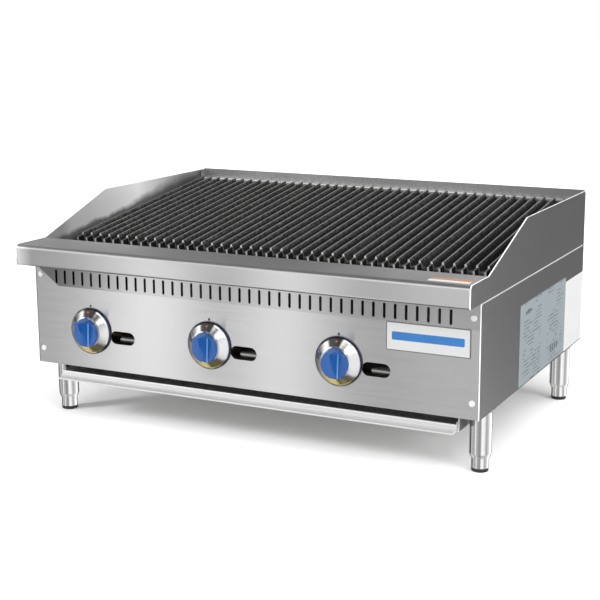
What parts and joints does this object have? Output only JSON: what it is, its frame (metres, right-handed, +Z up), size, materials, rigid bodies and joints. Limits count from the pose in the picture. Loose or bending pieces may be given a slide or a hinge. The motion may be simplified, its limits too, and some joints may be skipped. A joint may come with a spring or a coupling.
{
  "type": "gas charbroiler",
  "caption": "Countertop gas charbroiler: steel casing with side guards, sloped cast grates over radiants and burners, front knobs, drip tray and adjustable legs.",
  "frame": {"origin": "centre of the bounding box in X and Y, on the plane the foot pads stand on", "axes": "+X to the right seen from the front, +Y to the rear, +Z up"},
  "size_m": [0.914, 0.7158, 0.425],
  "materials": {
    "stainless": "brushed",
    "liner_steel": "heat-stained",
    "leg_steel": "polished",
    "tube_steel": "satin",
    "black_pipe": "satin",
    "cast_iron": "rough seasoned",
    "brass": "machined",
    "chrome": "mirror",
    "blue_plastic": "gloss",
    "rubber": "matt",
    "plate_silver": "satin"
  },
  "bodies": {
    "chassis": {"front_panel": "stainless", "top_ledge": "stainless", "right_guard": "stainless", "left_guard": "stainless", "right_panel": "stainless", "left_panel": "stainless", "back_splash": "stainless", "rear_panel": "stainless", "base_rail_front": "liner_steel", "base_rail_rear": "liner_steel", "firebox_front": "liner_steel", "firebox_rear": "liner_steel", "firebox_right": "liner_steel", "firebox_left": "liner_steel", "grate_rail_front": "liner_steel", "grate_rail_rear": "liner_steel", "grease_trough": "liner_steel", "gas_manifold": "black_pipe", "gas_inlet_pipe": "black_pipe", "pilot_burners": "tube_steel", "tray_rail_right": "stainless", "tray_rail_left": "stainless", "panel_screws": "tube_steel", "name_plate": "plate_silver", "legs": "leg_steel", "valve_1": "brass", "valve_2": "brass", "valve_3": "brass", "burner_1": "cast_iron", "burner_2": "cast_iron", "burner_3": "cast_iron", "radiant_1": "cast_iron", "radiant_2": "cast_iron", "radiant_3": "cast_iron"},
    "tray": {"drip_tray": "stainless"},
    "control_1": {"knob_1": "blue_plastic", "knob_skirt_1": "chrome", "valve_stem_1": "brass"},
    "control_2": {"knob_2": "blue_plastic", "knob_skirt_2": "chrome", "valve_stem_2": "brass"},
    "control_3": {"knob_3": "blue_plastic", "knob_skirt_3": "chrome", "valve_stem_3": "brass"},
    "grate_body_1": {"grate_1": "cast_iron"},
    "grate_body_2": {"grate_2": "cast_iron"},
    "grate_body_3": {"grate_3": "cast_iron"},
    "grate_body_4": {"grate_4": "cast_iron"},
    "grate_body_5": {"grate_5": "cast_iron"},
    "grate_body_6": {"grate_6": "cast_iron"},
    "foot_body_front_left": {"foot_front_left": "leg_steel", "foot_pad_front_left": "rubber"},
    "foot_body_front_right": {"foot_front_right": "leg_steel", "foot_pad_front_right": "rubber"},
    "foot_body_rear_left": {"foot_rear_left": "leg_steel", "foot_pad_rear_left": "rubber"},
    "foot_body_rear_right": {"foot_rear_right": "leg_steel", "foot_pad_rear_right": "rubber"}
  },
  "joints": [
    {"name": "control_1_turn", "type": "hinge", "parent": "chassis", "child": "control_1", "pos_m": [-0.3286, -0.3186, 0.1848], "axis": [0, -1, 0], "range_deg": [0, 90]},
    {"name": "control_2_turn", "type": "hinge", "parent": "chassis", "child": "control_2", "pos_m": [-0.0666, -0.3186, 0.1848], "axis": [0, -1, 0], "range_deg": [0, 90]},
    {"name": "control_3_turn", "type": "hinge", "parent": "chassis", "child": "control_3", "pos_m": [0.1954, -0.3186, 0.1848], "axis": [0, -1, 0], "range_deg": [0, 90]},
    {"name": "tray_slide", "type": "slide", "parent": "chassis", "child": "tray", "axis": [0, -1, 0], "range_m": [0, 0.45]},
    {"name": "grate_1_lift", "type": "slide", "parent": "chassis", "child": "grate_body_1", "axis": [0, 0, 1], "range_m": [0, 0.15]},
    {"name": "grate_2_lift", "type": "slide", "parent": "chassis", "child": "grate_body_2", "axis": [0, 0, 1], "range_m": [0, 0.15]},
    {"name": "grate_3_lift", "type": "slide", "parent": "chassis", "child": "grate_body_3", "axis": [0, 0, 1], "range_m": [0, 0.15]},
    {"name": "grate_4_lift", "type": "slide", "parent": "chassis", "child": "grate_body_4", "axis": [0, 0, 1], "range_m": [0, 0.15]},
    {"name": "grate_5_lift", "type": "slide", "parent": "chassis", "child": "grate_body_5", "axis": [0, 0, 1], "range_m": [0, 0.15]},
    {"name": "grate_6_lift", "type": "slide", "parent": "chassis", "child": "grate_body_6", "axis": [0, 0, 1], "range_m": [0, 0.15]},
    {"name": "foot_front_left_adjust", "type": "slide", "parent": "chassis", "child": "foot_body_front_left", "axis": [0, 0, 1], "range_m": [-0.02, 0.012]},
    {"name": "foot_front_right_adjust", "type": "slide", "parent": "chassis", "child": "foot_body_front_right", "axis": [0, 0, 1], "range_m": [-0.02, 0.012]},
    {"name": "foot_rear_left_adjust", "type": "slide", "parent": "chassis", "child": "foot_body_rear_left", "axis": [0, 0, 1], "range_m": [-0.02, 0.012]},
    {"name": "foot_rear_right_adjust", "type": "slide", "parent": "chassis", "child": "foot_body_rear_right", "axis": [0, 0, 1], "range_m": [-0.02, 0.012]}
  ]
}
